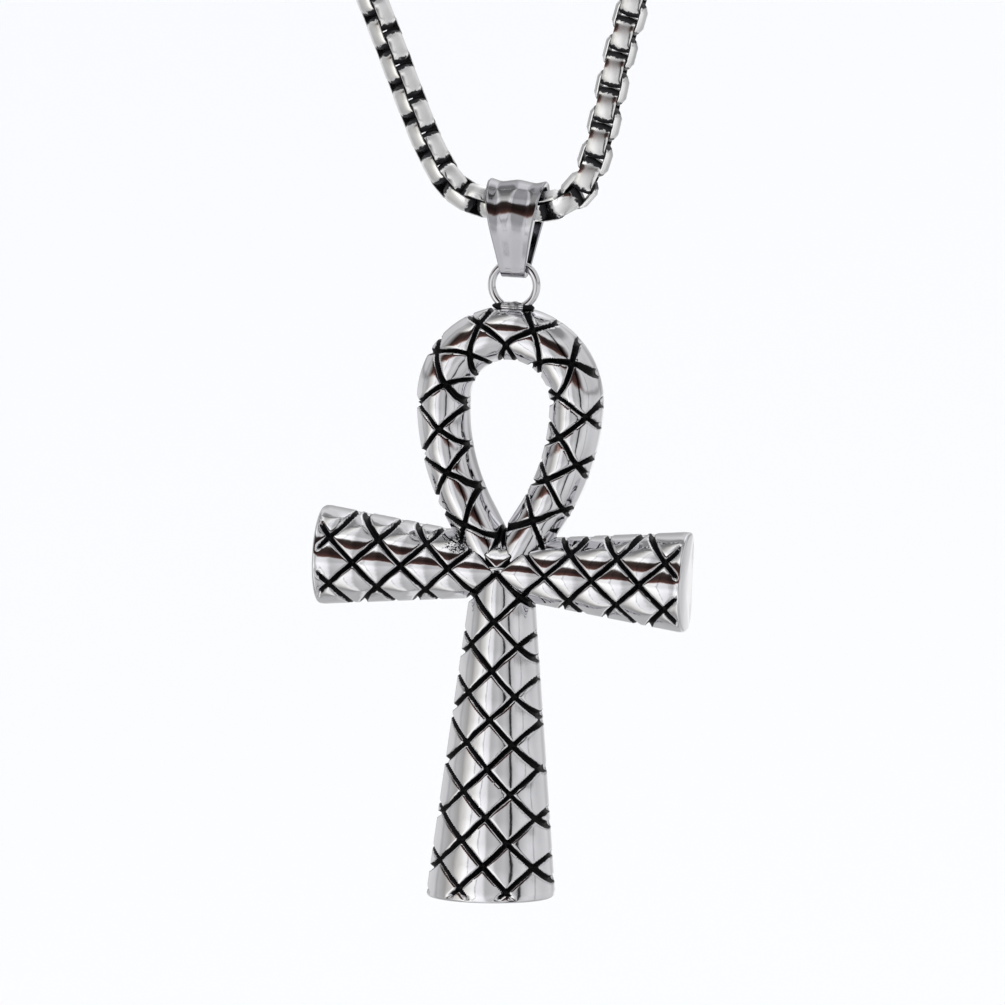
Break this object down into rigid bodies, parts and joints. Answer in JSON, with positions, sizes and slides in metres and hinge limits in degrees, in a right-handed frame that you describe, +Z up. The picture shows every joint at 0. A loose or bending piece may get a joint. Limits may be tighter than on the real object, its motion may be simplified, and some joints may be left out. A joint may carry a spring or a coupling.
{
  "type": "ankh pendant necklace",
  "caption": "Polished steel ankh with crossed engraved lines, hung by a ring and a folded bail on a closed rounded box chain, in its worn form.",
  "frame": {"origin": "under the clasp at the nape, where the chain hangs on the neck", "axes": "+Z up along the hanging necklace, +X to the right along the ankh's crossbar, -Y towards the viewer"},
  "size_m": [0.1272, 0.0066, 0.3304],
  "materials": {
    "cast_steel": "mirror-polished cast stainless steel with blackened engraved lines",
    "bail_steel": "mirror-polished stainless steel",
    "chain_steel": "tumbled and polished stainless steel"
  },
  "bodies": {
    "chain": {"chain": "chain_steel", "clasp": "chain_steel"},
    "bail": {"bail": "bail_steel"},
    "ankh": {"ankh": "cast_steel"}
  },
  "joints": [
    {"name": "bail_swing", "type": "hinge", "parent": "chain", "child": "bail", "pos_m": [0, 0, -0.256], "axis": [1, 0, 0], "range_deg": [-90, 90]},
    {"name": "ankh_sway", "type": "hinge", "parent": "bail", "child": "ankh", "pos_m": [0, 0, -0.264], "axis": [0, 1, 0], "range_deg": [-75, 75]}
  ]
}
